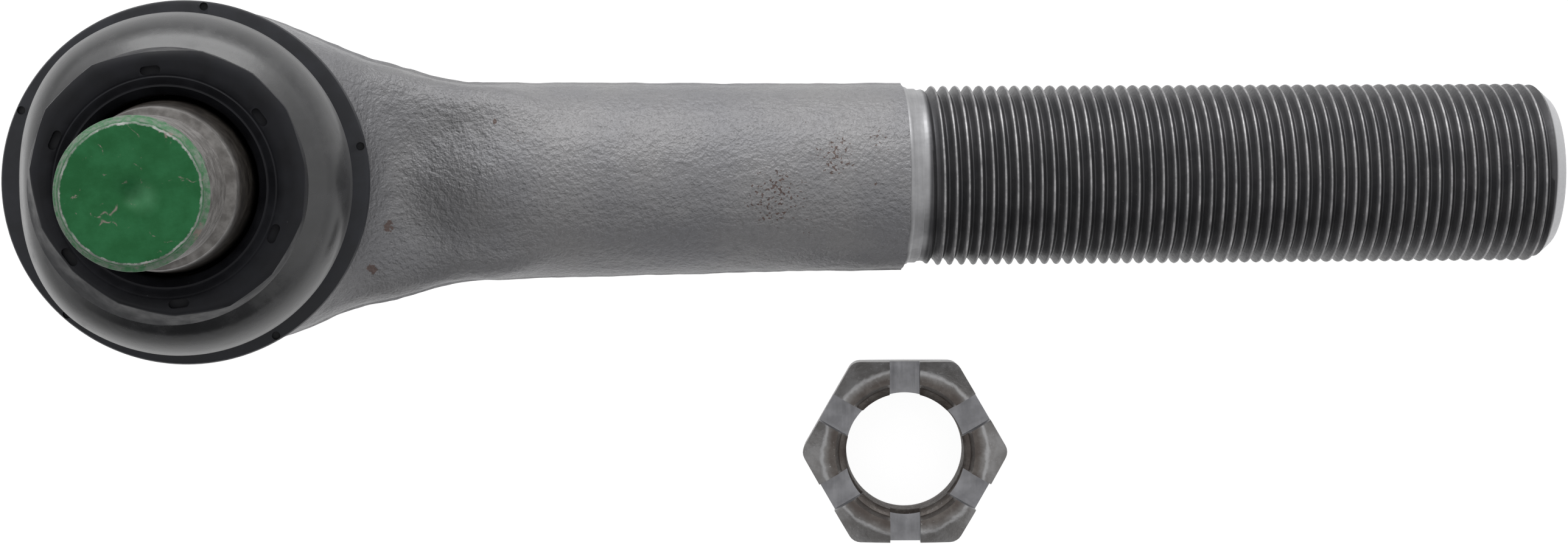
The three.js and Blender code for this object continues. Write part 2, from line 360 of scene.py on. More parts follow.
# ---- Where the nut lies ----
NUT_FLATS = 31.2
NUT_SEAT_RADIUS = 13.4  # how far its seat's mount lies from its axis, along its own +X
NUT_FACE_R = NUT_FLATS / 2 - 1.5
nut_seat = next(m for m in frame["record"]["mounts"] if m["name"] == "nut_seat_face")["pos_m"]
NUT_PLACE = Vector(nut_seat) / MM - bench_turn @ Vector((NUT_SEAT_RADIUS, 0, 0))
NUT_AXIS = bench_turn @ Vector((0, 0, 1))


# ---- Materials ----
# Where rust specks gather on the shank's upper side: [x, y, inner radius, outer radius, strength].
RUST_CLUSTERS = (
    (95.0, -3.0, 2, 9, 1.0), (105.0, 3.5, 1, 7.5, 0.95), (112.5, 6.0, 0, 6, 0.8),
    (101.0, -9.0, 0, 7.5, 0.7), (97.0, 8.0, 1, 10.5, 0.45), (53.0, 7.5, 1, 12, 0.6),
)
# Single rust spots on the same side: [x, y, size].
RUST_SPOTS = ((31.4, -7.6, 0.75), (28.7, -14.6, 0.7), (111.5, -1.0, 0.2), (49.0, 9.5, 0.2))


def forged_steel():
    """Shot-blasted forging: pebbled grey, darker in the pits, with painted shade towards the head and neck, and
    rust specks in loose clusters.
    """
    n = Nodes("forged_steel")
    blotch = n.noise(16, 3, 0.5)
    pebble = n.noise(0.75, 2, 0.5)
    grain = n.noise(0.32, 2, 0.6)
    dents = n.noise(1.7, 2, 0.5)
    grey = n.mix(n.span(blotch, 0.3, 0.7), (0.138, 0.138, 0.146), (0.166, 0.164, 0.167))
    grey = n.mix(n.span(pebble, 0.28, 0.55, 0.22, 0.0), grey, (0.07, 0.068, 0.068))
    grey = n.mix(n.span(grain, 0.64, 0.78, 0.0, 0.35), grey, (0.42, 0.42, 0.43))
    # Painted shade: the neck and head are coloured darker, in place of the weaker light on that side.
    grey = n.mix(n.span(n.axis("X"), 38, 64, 0.34, 0.0), grey, (0.09, 0.09, 0.093))
    flat = n.stretch(1, 1, 0)
    upper = n.span(n.axis("Z"), BALL_Z + 4, BALL_Z + 8)
    cluster = 0.0
    for x, y, inner, outer, strength in RUST_CLUSTERS:
        away = n.distance((x, y, 0), flat)
        cluster = n.either(cluster, n.span(away, inner, outer, strength, 0))
    cluster = n.times(cluster, upper)
    speck = n.math("ADD", n.noise(0.5, 2, 0.5), n.times(n.noise(3.2, 2), 0.28))
    limit = n.span(cluster, 0, 1, 1.02, 0.715)
    rust = n.span(n.math("SUBTRACT", speck, limit), 0, 0.03)
    for x, y, size in RUST_SPOTS:
        wobble = n.times(n.noise(0.8, 3), 2.0)
        near = n.math("ADD", n.distance((x, y, 0), flat), wobble)
        spot = n.times(n.span(near, size + 0.9, size + 1.1, 1, 0), upper)
        rust = n.either(rust, spot)
    colour = n.mix(n.times(rust, 0.92), grey, (0.048, 0.024, 0.018))
    n.set(Base_Color=colour, Metallic=n.span(rust, 0, 1, 0.4, 0.0))
    n.set(Roughness=n.span(grain, 0.2, 0.8, 0.34, 0.52))
    deep = n.bump(dents, 0.30, 0.7)
    coarse = n.bump(pebble, 0.30, 1.0, under=deep)
    n.bump(grain, 0.13, 1.0, under=coarse)
    return n.material


def rolled_thread():
    """The shank's turned collar and end, bright and ringed, and between them the thread: charcoal flanks with
    crests painted lighter as a painted highlight. The crest attribute is 1 on a crest, 0 in a root."""
    n = Nodes("rolled_thread")
    crest = n.attribute("crest")
    patch = n.noise(5, 4, 0.6)
    fine = n.noise(0.5, 3, 0.6, n.stretch(0.35, 1, 1))
    flank = n.mix(n.span(patch, 0.3, 0.7), (0.040, 0.040, 0.043), (0.056, 0.055, 0.058))
    edge = n.math("ADD", crest, n.span(patch, 0.2, 0.8, -0.05, 0.05))
    # Painted highlight: the thread's crests are coloured lighter, where light would catch them.
    painted_crest_highlight = n.mix(n.span(n.noise(2.2, 4, 0.7), 0.35, 0.68), (0.18, 0.178, 0.18), (0.33, 0.325, 0.33))
    thread = n.mix(n.span(edge, 0.86, 1.04), flank, painted_crest_highlight)
    thread = n.mix(n.span(fine, 0.70, 0.8), thread, (0.20, 0.195, 0.19))
    lathe = n.noise(0.35, 2, 0.5, n.stretch(1, 0.04, 0.04))
    smear = n.noise(3.5, 4, 0.6)
    turned = n.mix(n.span(smear, 0.3, 0.75), (0.22, 0.22, 0.227), (0.28, 0.28, 0.287))
    turned = n.mix(n.span(lathe, 0.3, 0.7, 0.0, 0.2), turned, (0.12, 0.12, 0.125))
    x = n.axis("X")
    collar = n.span(x, SHANK_THREAD_START + 0.5, SHANK_THREAD_START + 1.1, 1, 0)
    end = n.span(x, SHANK_TIP - 2.3, SHANK_TIP - 1.8)
    ends = n.either(collar, end)
    turned = n.mix(end, turned, (0.38, 0.38, 0.39))
    n.set(Base_Color=n.mix(ends, thread, turned), Metallic=0.7)
    n.set(Roughness=n.span(fine, 0.2, 0.8, 0.32, 0.5))
    n.bump(n.math("ADD", n.times(ends, lathe), fine), 0.03, 0.6)
    return n.material


def turned_steel():
    """Machined steel: fine lathe rings with smears of oxide."""
    n = Nodes("turned_steel")
    lathe = n.noise(0.35, 2, 0.5, n.stretch(0.04, 0.04, 1))
    smear = n.noise(3.5, 4, 0.6)
    colour = n.mix(n.span(smear, 0.35, 0.7), (0.25, 0.25, 0.26), (0.36, 0.36, 0.37))
    n.set(Base_Color=colour, Metallic=0.8, Roughness=n.span(lathe, 0.2, 0.8, 0.36, 0.5))
    n.bump(lathe, 0.03, 0.6)
    return n.material


def stud_steel():
    """Ground stud steel, with painted shade: warmer and darker down the taper, where it sinks into the boot's
    mouth.
    """
    n = Nodes("stud_steel")
    height = n.axis("Z")
    lathe = n.noise(0.4, 2, 0.5, n.stretch(0.05, 0.05, 1))
    smear = n.noise(2.5, 4, 0.6)
    pale = n.span(smear, 0.35, 0.7)
    grey = n.mix(pale, (0.075, 0.070, 0.066), (0.155, 0.148, 0.142))
    # Painted shade: below the ledge the taper is coloured dark and warm, standing in for its shade inside the
    # boot's opening.
    painted_taper_shade = n.mix(pale, (0.018, 0.015, 0.013), (0.050, 0.044, 0.038))
    ledge = BALL_Z + 70.2
    colour = n.mix(n.span(height, ledge - 3, ledge), painted_taper_shade, grey)
    n.set(Base_Color=colour, Metallic=0.6, Roughness=n.span(lathe, 0.2, 0.8, 0.34, 0.5))
    n.bump(lathe, 0.02, 0.6)
    return n.material


def tip_paint():
    """Green paint brushed on the stud's tip, worn to bright steel in a ring round the face's edge."""
    n = Nodes("tip_paint")
    flat = n.stretch(1, 1, 0)
    radius = n.distance((0, 0, 0), flat)
    wobble = n.noise(1.1, 4, 0.65)
    ring_at = n.math("ADD", radius, n.span(wobble, 0.25, 0.75, -0.12, 0.12))
    inside = n.span(ring_at, TIP_FACE_R - 0.24, TIP_FACE_R - 0.08)
    edge = n.times(inside, n.span(ring_at, TIP_FACE_R + 0.22, TIP_FACE_R + 0.06))
    edge = n.times(edge, n.span(n.noise(4.5, 3, 0.6), 0.35, 0.6, 0.2, 0.8))
    thin = n.noise(2.2, 5, 0.7)
    scratch = n.math("ABSOLUTE", n.math("SUBTRACT", n.noise(5, 2, 0.4), 0.5))
    scratch = n.times(n.span(scratch, 0.0, 0.012, 1, 0), n.span(thin, 0.52, 0.62))
    rubbed = n.span(n.distance((-7.0, -1.5, 0), flat), 1, 3.5, 0.10, 0)
    worn = n.span(n.math("ADD", thin, rubbed), 0.66, 0.74)
    bare = n.either(scratch, worn)
    cloud = n.noise(4, 4, 0.6)
    green = n.mix(n.span(cloud, 0.35, 0.7), (0.008, 0.066, 0.020), (0.014, 0.090, 0.032))
    chalky = n.times(n.span(n.distance((1.6, -0.6, 0), flat), 0.5, 3.0, 0.5, 0), thin)
    green = n.mix(chalky, green, (0.09, 0.24, 0.13))
    chamfer = n.mix(n.span(wobble, 0.35, 0.65), (0.045, 0.125, 0.06), (0.13, 0.155, 0.13))
    paint = n.mix(n.span(radius, TIP_FACE_R + 0.1, TIP_FACE_R + 0.4), green, chamfer)
    colour = n.mix(bare, paint, (0.16, 0.13, 0.115))
    metal = n.mix(n.span(wobble, 0.4, 0.6), (0.20, 0.195, 0.19), (0.36, 0.355, 0.35))
    n.set(Base_Color=n.mix(edge, colour, metal), Metallic=n.times(edge, 0.6))
    n.set(Roughness=n.span(thin, 0.3, 0.7, 0.34, 0.55), Specular_IOR_Level=0.1)
    n.bump(thin, 0.10, 0.7)
    return n.material


def nut_steel():
    """Hot-formed nut: brownish grey, darkest on the crown, with a painted highlight along the crown's edge."""
    n = Nodes("nut_steel")
    stain = n.noise(4.5, 5, 0.65)
    fine = n.noise(0.6, 3, 0.6)
    radius = n.from_axis(tuple(NUT_PLACE), tuple(NUT_AXIS))
    wobble = n.span(n.noise(3, 3, 0.6), 0.2, 0.8, -0.35, 0.35)
    radius = n.math("ADD", radius, wobble)
    pale = n.span(stain, 0.36, 0.66)
    crown = n.mix(pale, (0.055, 0.045, 0.040), (0.098, 0.088, 0.081))
    outer = n.mix(pale, (0.135, 0.130, 0.127), (0.20, 0.197, 0.197))
    colour = n.mix(n.span(radius, NUT_FACE_R - 1.6, NUT_FACE_R + 0.2), crown, outer)
    # Painted highlight: a light band where the crown's face meets its chamfer.
    inside = n.span(radius, NUT_FACE_R - 0.5, NUT_FACE_R)
    rim = n.times(inside, n.span(radius, NUT_FACE_R + 0.6, NUT_FACE_R + 0.1))
    colour = n.mix(n.times(rim, 0.6), colour, (0.34, 0.34, 0.345))
    colour = n.mix(n.span(fine, 0.64, 0.8, 0.0, 0.8), colour, (0.32, 0.315, 0.32))
    n.set(Base_Color=colour, Metallic=0.6, Roughness=n.span(fine, 0.2, 0.8, 0.34, 0.5))
    n.bump(fine, 0.10, 0.8, under=n.bump(stain, 0.3, 0.5))
    return n.material


def milled_steel():
    """The nut's milled slots and chamfered corners: cooler, lighter and finely scratched."""
    n = Nodes("milled_steel")
    scratch = n.noise(0.5, 3, 0.6, n.stretch(1, 0.08, 1))
    smear = n.noise(3, 3, 0.6)
    colour = n.mix(n.span(smear, 0.3, 0.7), (0.175, 0.175, 0.184), (0.235, 0.235, 0.246))
    n.set(Base_Color=colour, Metallic=0.8, Roughness=n.span(scratch, 0.2, 0.8, 0.34, 0.5))
    n.bump(scratch, 0.03, 0.6)
    return n.material


def boot_rubber(name, colour, roughness, specular, matt_roughness=None):
    """Moulded rubber. With a second roughness it has that one up to the seam and shines above it, and then also
    gets lighter streaks, partly smudges and partly painted reflection.
    """
    n = Nodes(name)
    bloom = n.noise(5, 4, 0.6)
    streak = n.noise(2.5, 4, 0.65, n.stretch(1, 1, 2.5))
    dust = n.noise(0.5, 2, 0.5)
    tint = n.mix(n.span(bloom, 0.35, 0.7), colour, tuple(1.7 * c for c in colour))
    tint = n.mix(n.span(dust, 0.77, 0.82), tint, (0.07, 0.07, 0.075))
    rough = n.span(bloom, 0.3, 0.7, 0.8 * roughness, 1.2 * roughness)
    rough = n.math("ADD", rough, n.span(streak, 0.45, 0.75, 0.0, 0.06))
    if matt_roughness:
        # Lighter streaks: smudges on the rubber that also stand in for its streaky reflection, a painted
        # reflection.
        smudge_and_painted_reflection = n.span(n.noise(7, 5, 0.7, n.stretch(1, 1, 0.4)), 0.48, 0.72)
        tint = n.mix(n.times(smudge_and_painted_reflection, 0.8), tint, (0.024, 0.024, 0.025))
        rough = n.math("ADD", rough, n.times(smudge_and_painted_reflection, 0.10))
        matt = n.span(n.axis("Z"), SEAM_Z + 0.5, SEAM_Z + 4, matt_roughness, roughness)
        rough = n.either(rough, matt)
    n.set(Base_Color=tint, Roughness=rough, Specular_IOR_Level=specular)
    n.bump(n.noise(1.1, 3, 0.5), 0.03, 0.5)
    return n.material


def plain_metal(name, dark, light, roughness):
    n = Nodes(name)
    smear = n.noise(4, 4, 0.6)
    fine = n.noise(0.5, 3, 0.6)
    n.set(Base_Color=n.mix(n.span(smear, 0.35, 0.68), dark, light), Metallic=0.85)
    n.set(Roughness=n.span(fine, 0.2, 0.8, roughness - 0.08, roughness + 0.08))
    n.bump(fine, 0.04, 0.6)
    return n.material


def bearing_plastic():
    n = Nodes("bearing_plastic")
    cloud = n.noise(7, 3, 0.5)
    n.set(Base_Color=n.mix(cloud, (0.60, 0.56, 0.45), (0.74, 0.70, 0.58)), Roughness=0.42)
    n.bump(n.noise(0.8, 2, 0.5), 0.02, 0.5)
    return n.material


FORGED = forged_steel()
THREAD = rolled_thread()
TURNED = turned_steel()
STUD = stud_steel()
PAINT = tip_paint()
NUT = nut_steel()
MILLED = milled_steel()
RUBBER_FLANGE = boot_rubber("boot_rubber_flange", (0.0105, 0.011, 0.0135), 0.5, 0.22)
RUBBER_CROWN = boot_rubber("boot_rubber_crown", (0.0052, 0.0054, 0.0068), 0.55, 0.16)
RUBBER_GLOSS = boot_rubber("boot_rubber_gloss", (0.010, 0.0102, 0.011), 0.24, 0.65, 0.5)
STAMPED = plain_metal("stamped_steel", (0.20, 0.20, 0.21), (0.33, 0.33, 0.34), 0.42)
SPRING = plain_metal("spring_steel", (0.06, 0.062, 0.068), (0.11, 0.112, 0.12), 0.35)
PLASTIC = bearing_plastic()


# ---- Threads ----
def thread_rows(start, end, pitch, crest_r, columns, start_r, end_r, chamfer):
    """Rows that follow a right-hand helix about +Z, held between start and end. The thread rises from
    start_r and is cut down at its end by a chamfer that grows inwards from end_r."""
    steps = len(THREAD_FORM)
    turn = np.arange(columns) / columns
    angle = 2 * math.pi * turn
    rows = []
    for j in range(-steps, int((end - start) / pitch + 3) * steps):
        share, depth = THREAD_FORM[j % steps]
        z = start + pitch * (j // steps + share + turn)
        depth_mm = depth * THREAD_DEPTH * pitch
        fade = smoothstep(start, start + 1.4 * pitch, z)
        radius = start_r + (crest_r - depth_mm - start_r) * fade
        radius = np.minimum(radius, end_r + (end - z) * chamfer)
        radius = np.where(z <= start, start_r, np.where(z >= end, end_r, radius))
        held = np.clip(z, start, end)
        rows.append(list(zip(radius * np.cos(angle), radius * np.sin(angle), held)))
    return rows


def store_crest(obj, centre, direction, low, high):
    """Stores crest, which is 0 at radius low and 1 at radius high about an axis."""
    points = np.array([v.co for v in obj.data.vertices]) / MM - np.array(centre)
    along = points @ np.array(direction)
    radius = np.sqrt(np.maximum((points**2).sum(1) - along**2, 0))
    crest = np.clip((radius - low) / (high - low), 0, 1)
    attribute = obj.data.attributes.new("crest", "FLOAT", "POINT")
    attribute.data.foreach_set("value", np.asarray(crest, np.float32))


# ---- Socket housing ----
def smooth_min(a, b, width):
    share = np.clip(0.5 + 0.5 * (b - a) / width, 0, 1)
    return b * (1 - share) + a * share - width * share * (1 - share)


# Outline seen from above: at each station along the shank, the reach towards +Y and towards -Y.
OUTLINE = (
    (0, 22.0, 22.8), (12, 22.0, 22.8), (23, 21.0, 21.2), (29, 19.5, 20.5), (35.4, 17.7, 18.9),
    (41.4, 15.9, 16.9), (47.5, 15.6, 16.8), (54, 15.75, 16.65), (63, 15.65, 16.5), (73.5, 15.6, 16.3),
    (89, 15.45, 15.9), (104, 15.4, 15.75), (118, 15.4, 15.7),
)
# The flat web between head and shank: station, half height.
WEB_END = 70
WEB_HEIGHT = (
    (0, 15.5), (12, 14.4), (22, 13.2), (31, 11.5), (38, 10.1), (46, 12.0), (54, 13.2), (60, 11.5),
    (WEB_END, 6.0),
)
# How much narrower than the outline the web is on each side, as the round shank takes over.
WEB_INSET = ((0, 0), (48, 0), (54, 0.8), (60, 3.5), (WEB_END, 9.0))
# The round core's radius as a share of the outline's. Its nose is in the web.
CORE_START = 20
CORE_SHARE = ((CORE_START, 0.3), (34, 0.56), (38, 0.66), (42, 0.8), (46, 0.91), (50, 0.97), (56, 1))


def along(table, x, column=1):
    """A smooth reading of a station table: linear, averaged over a few millimetres."""
    stations = [row[0] for row in table]
    values = [row[column] for row in table]
    return sum(np.interp(x + shift, stations, values) for shift in (-3, -1.5, 0, 1.5, 3)) / 5


def forging_field(p):
    """Distance in millimetres from the forging's skin, negative inside. The head runs on past its flat
    top and bottom, which are cut later."""
    x, y, z = p[:, 0], p[:, 1], p[:, 2] - BALL_Z
    head_r = np.interp(
        p[:, 2],
        [0.6, 2.2, 9, BALL_Z, HEAD_TOP - 3, HEAD_TOP],
        [24.0, 25.8, HEAD_R - 0.3, HEAD_R, HEAD_R - 0.5, HEAD_R - 1.4],
    )
    head = np.maximum(np.hypot(x, y) - head_r, np.abs(p[:, 2] - 29) - 31)
    reach_up, reach_down = along(OUTLINE, x, 1), along(OUTLINE, x, 2)
    half = (reach_up + reach_down) / 2
    side = y - (reach_up - reach_down) / 2
    width = half - along(WEB_INSET, x)
    height = along(WEB_HEIGHT, x)
    slab = ((np.abs(side) / width) ** 5 + (np.abs(z) / height) ** 5) ** (1 / 5)
    web = np.maximum((slab - 1) * np.minimum(width, height), np.maximum(x - WEB_END, -x))
    core = np.maximum(np.hypot(side, z) - half * along(CORE_SHARE, x), CORE_START - x)
    body = smooth_min(core, web, 1.8)
    whole = smooth_min(head, body, 7.0)
    flash = np.exp(-((z / 0.55) ** 2)) * smoothstep(-20, 30, x) * smoothstep(9, 14, np.abs(y))
    return whole - 0.3 * flash


def surface_net(field, low, high, step):
    """Quads near the field's zero level: one vertex in each mixed cell."""
    axes = [np.arange(a, b + step, step) for a, b in zip(low, high)]
    grid = np.stack(np.meshgrid(*axes, indexing="ij"), -1)
    inside = field(grid.reshape(-1, 3)).reshape(grid.shape[:3]) < 0
    nx, ny, nz = (n - 1 for n in inside.shape)
    count = np.zeros((nx, ny, nz), int)
    for dx, dy, dz in np.ndindex(2, 2, 2):
        count += inside[dx : dx + nx, dy : dy + ny, dz : dz + nz]
    mixed = (count > 0) & (count < 8)
    index = np.full(count.shape, -1)
    index[mixed] = np.arange(mixed.sum())
    vertices = grid[:-1, :-1, :-1][mixed] + step / 2
    faces = []
    for axis in range(3):
        crossing = np.diff(inside.astype(int), axis=axis) != 0
        cells = np.argwhere(crossing)
        a, b = [k for k in range(3) if k != axis]
        keep = (cells[:, a] > 0) & (cells[:, b] > 0)
        keep &= (cells[:, a] < count.shape[a]) & (cells[:, b] < count.shape[b])
        cells = cells[keep]
        quad = []
        for shift_a, shift_b in ((-1, -1), (0, -1), (0, 0), (-1, 0)):
            corner = cells.copy()
            corner[:, a] += shift_a
            corner[:, b] += shift_b
            quad.append(index[tuple(corner.T)])
        faces.append(np.stack(quad, 1))
    return vertices, np.concatenate(faces)


def gradient(field, points, reach=0.05):
    """The field's slope along each axis."""
    slopes = [field(points + reach * e) - field(points - reach * e) for e in np.eye(3)]
    return np.stack(slopes, 1) / (2 * reach)


def project(points, field, rounds=4):
    """Moves points onto the field's zero level along its gradient."""
    for _ in range(rounds):
        slope = gradient(field, points)
        size = np.maximum((slope**2).sum(1), 0.05)
        points = points - (field(points) / size)[:, None] * slope
    return points


def relax(points, faces, rounds):
    """Pulls each point most of the way to the middle of its neighbours."""
    edges = np.concatenate([faces[:, [k, (k + 1) % 4]] for k in range(4)])
    for _ in range(rounds):
        total = np.zeros_like(points)
        number = np.zeros(len(points))
        for a, b in ((0, 1), (1, 0)):
            np.add.at(total, edges[:, a], points[edges[:, b]])
            np.add.at(number, edges[:, a], 1)
        points = 0.4 * points + 0.6 * total / number[:, None]
    return points


def socket_bore():
    """The same stepped bore as the CAD housing's."""
    profile = [
        (0, -1), (18.9, -1), (18.9, 2.0), (19.4, 2.4), (22.4, 2.4), (22.4, 8.2), (21.5, 8.8),
        (21.5, BALL_Z + 10.3), (15.9, BALL_Z + 10.3), (19.4, HEAD_TOP + 1), (0, HEAD_TOP + 1),
    ]
    return turned_object("bore_tool", profile, 96, [TURNED])


CELL = 0.8  # of the forging's net
# The skin's lumps: [size across, height].
LUMPS = ((10, 0.08), (3.6, 0.09), (1.8, 0.07))
HEAD_LUMPS = 0.5  # how much stronger they are towards the head


def lump(point):
    return sum(height * noise.noise(Vector(point) / size) for size, height in LUMPS)


def build_forging():
    low = (-HEAD_R - 2, -HEAD_R - 2, -1.5)
    high = (SHANK_STEP + 2, HEAD_R + 2, HEAD_TOP + 1.2)
    points, faces = surface_net(forging_field, low, high, CELL)
    points = project(points, forging_field)
    points = project(relax(points, faces, 3), forging_field)
    normal = gradient(forging_field, points)
    normal /= np.linalg.norm(normal, axis=1)[:, None]
    lumps = np.array([lump(p) for p in points])
    x = points[:, 0]
    share = smoothstep(0, 3, SHANK_STEP - x) * (1 + HEAD_LUMPS * smoothstep(62, 44, x))
    points = points + normal * (lumps * share)[:, None]
    forging = make_object("housing_forging", points, faces, [FORGED, TURNED], weld=0)
    slice_flat(forging, (SHANK_STEP, 0, 0), (1, 0, 0))
    slice_flat(forging, (0, 0, HEAD_TOP), (0, 0, 1))
    slice_flat(forging, (0, 0, HEAD_BOTTOM), (0, 0, -1))
    boolean(forging, socket_bore())
    finish_shading(forging, 40)
    return forging


def build_threaded_end():
    """Collar, thread and end chamfer, turned about +Z and then laid along the shank."""
    columns = 128
    start, end = SHANK_THREAD_START, SHANK_TIP - 0.25
    start_r, end_r = COLLAR_R - 0.25, SHANK_CHAMFER_R
    step = SHANK_STEP
    collar = [
        (0, step - 4), (14.8, step - 4), (14.8, step - 0.3), (15.15, step - 0.05), (15.2, step + 0.15),
        (14.95, step + 0.75), (COLLAR_R, step + 0.95), (COLLAR_R, start - 0.35), (start_r, start),
    ]
    face = [(end_r, end), (end_r - 0.3, SHANK_TIP), (2.2, SHANK_TIP), (0, SHANK_TIP - 1.2)]
    surface = Surface()
    surface.add_rows(rings(collar, columns))
    rows = thread_rows(start, end, SHANK_PITCH, SHANK_CREST_R, columns, start_r, end_r, 0.85)
    surface.add_rows(rows, len(THREAD_FORM))
    surface.add_rows(rings(face, columns))
    shank = make_object("threaded_shank", surface.vertices, surface.faces, [THREAD], sharp=50)
    place(shank, rotation(y=90), (0, 0, BALL_Z))
    root_r = SHANK_CREST_R - THREAD_DEPTH * SHANK_PITCH
    store_crest(shank, (0, 0, BALL_Z), (1, 0, 0), root_r, SHANK_CREST_R)
    return shank


forging = build_forging()
threaded_end = build_threaded_end()
for piece in (forging, threaded_end):
    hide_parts("socket_housing")
    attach(piece, "housing")


# ---- Ball stud ----
NECK_R = 9.2
TAPER_START = BALL_Z + 43
TAPER = 1 / 16  # growth in radius: 1:8 on diameter
LEDGE_Z = BALL_Z + 70.6
LEDGE_R = 12.0
STUD_RELIEF_R = 10.0
STUD_THREAD_START = LEDGE_Z + 2.2
STUD_THREAD_END = TIP_Z - 0.35
STUD_CHAMFER_R = TIP_FACE_R + 0.35
COTTER_Z = TIP_Z - 12
COTTER_R = 2.4
PAINT_LOW = TIP_Z - 2.6


def stud_profile():
    """From the flat under the ball up to the relief below the thread."""
    taper_r = LEDGE_R + (LEDGE_Z - TAPER_START) * TAPER
    flat_angle = -math.degrees(math.acos(7 / BALL_R))
    neck_angle = math.degrees(math.acos((NECK_R + 0.6) / BALL_R))
    profile = [(0, BALL_Z + BALL_R * math.sin(math.radians(flat_angle)))]
    profile += arc(0, BALL_Z, BALL_R, flat_angle, neck_angle, 26)
    profile += [(NECK_R, BALL_Z + 16.5), (NECK_R, BALL_Z + 30), (NECK_R + 0.5, BALL_Z + 34)]
    profile += [(NECK_R + 2, BALL_Z + 38), (taper_r - 1, TAPER_START - 1.6), (taper_r, TAPER_START)]
    profile += [(LEDGE_R + 0.03, LEDGE_Z - 0.5), (LEDGE_R - 0.12, LEDGE_Z - 0.12)]
    profile += [(LEDGE_R - 0.5, LEDGE_Z), (STUD_RELIEF_R + 0.5, LEDGE_Z)]
    return profile + [(STUD_RELIEF_R, LEDGE_Z + 0.5), (STUD_RELIEF_R, STUD_THREAD_START)]


def tip_profile():
    """The tip's face, with the shallow centre mark in its middle."""
    edge = [(STUD_CHAMFER_R, STUD_THREAD_END), (TIP_FACE_R + 0.1, TIP_Z - 0.08), (TIP_FACE_R - 0.3, TIP_Z)]
    face = [(r, TIP_Z) for r in (7.5, 6, 4.5, 3.2)]
    return edge + face + [(2.0, TIP_Z - 0.06), (1.3, TIP_Z - 0.5), (0.6, TIP_Z - 1.0), (0, TIP_Z - 1.15)]


def build_stud():
    columns = 96
    surface = Surface()
    surface.add_rows(rings(stud_profile(), columns))
    start, end = STUD_THREAD_START, STUD_THREAD_END
    rows = thread_rows(start, end, STUD_PITCH, STUD_CREST_R, columns, STUD_RELIEF_R, STUD_CHAMFER_R, 0.8)
    surface.add_rows(rows, len(THREAD_FORM))
    surface.add_rows(rings(tip_profile(), columns))
    stud = make_object("stud_body", surface.vertices, surface.faces, [STUD, PAINT], sharp=50)
    hole = turned_object("hole_tool", [(0, -16), (COTTER_R, -16), (COTTER_R, 16), (0, 16)], 40, [STUD])
    place(hole, rotation(x=90), (0, 0, COTTER_Z))
    boolean(stud, hole)
    finish_shading(stud, 50)
    store_crest(stud, (0, 0, 0), (0, 0, 1), STUD_CREST_R - THREAD_DEPTH * STUD_PITCH, STUD_CREST_R)
    for face in stud.data.polygons:
        if face.center.z / MM > PAINT_LOW:
            face.material_index = 1
    return stud


stud = build_stud()
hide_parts("ball_stud")
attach(stud, "stud")


# ---- Dust boot ----
SEAM_R = 26.9
WALL = 2.6
WALL_DENT = 2.3  # how far the wall is pressed in
DENT_SPREAD = 0.95  # radians to either side
DOME_TOP = BALL_Z + 44.8  # where the wall meets the crown
CROWN_BASE = BALL_Z + 50.2
CROWN_R = 21.1
ROUND_R = 17.0  # inside this the crown's face stays round
LIP_R = 13.85
BOOT_COLUMNS = 180
PINHOLE_COUNT = 5
PINHOLE_FIRST = 11.6  # degrees
PINHOLE_AWAY = 28.25  # from the stud's axis
SLOT_COUNT = 6  # in the crown
SLOT_FIRST = 36.2  # degrees
SLOT_AWAY = 17.6


def curve_points(anchors, steps):
    """A smooth curve through [radius, height] anchors (Catmull-Rom)."""
    anchors = np.array(anchors, float)
    before = 2 * anchors[0] - anchors[1]
    after = 2 * anchors[-1] - anchors[-2]
    points = np.array([before, *anchors, after])
    result = []
    for a, b, c, d in zip(points, points[1:], points[2:], points[3:]):
        for t in np.arange(steps) / steps:
            bend = (2 * a - 5 * b + 4 * c - d) * t**2 + (3 * b - a - 3 * c + d) * t**3
            result.append(0.5 * (2 * b + (c - a) * t + bend))
    return [tuple(p) for p in result + [anchors[-1]]]


def lower_profile():
    base = BOOT_BASE
    outer = [(25.5, base + 3.2), (25.0, base + 4.2), (25.3, BALL_Z + 27.5), (26.3, BALL_Z + 30.5)]
    inner = [(SEAM_R - WALL, SEAM_Z), (24.0, BALL_Z + 30.5), (23.0, BALL_Z + 27.5), (21.6, base + 4.0)]
    flange = [
        (20.2, base), (20.9, base), (20.9, base + 1.3), (27.7, base + 1.3), (27.7, base),
        (FLANGE_R - 0.5, base), (FLANGE_R - 0.12, base + 0.15), (FLANGE_R, base + 0.6),
        (FLANGE_R, base + 2.2), (FLANGE_R - 0.2, base + 2.65), (FLANGE_R - 0.7, base + 2.85),
        (26.3, base + 2.95),
    ]
    wall = curve_points([*outer, (SEAM_R, SEAM_Z)], 6) + curve_points(inner, 5)
    return flange + wall + [(20.2, base + 3.0)]


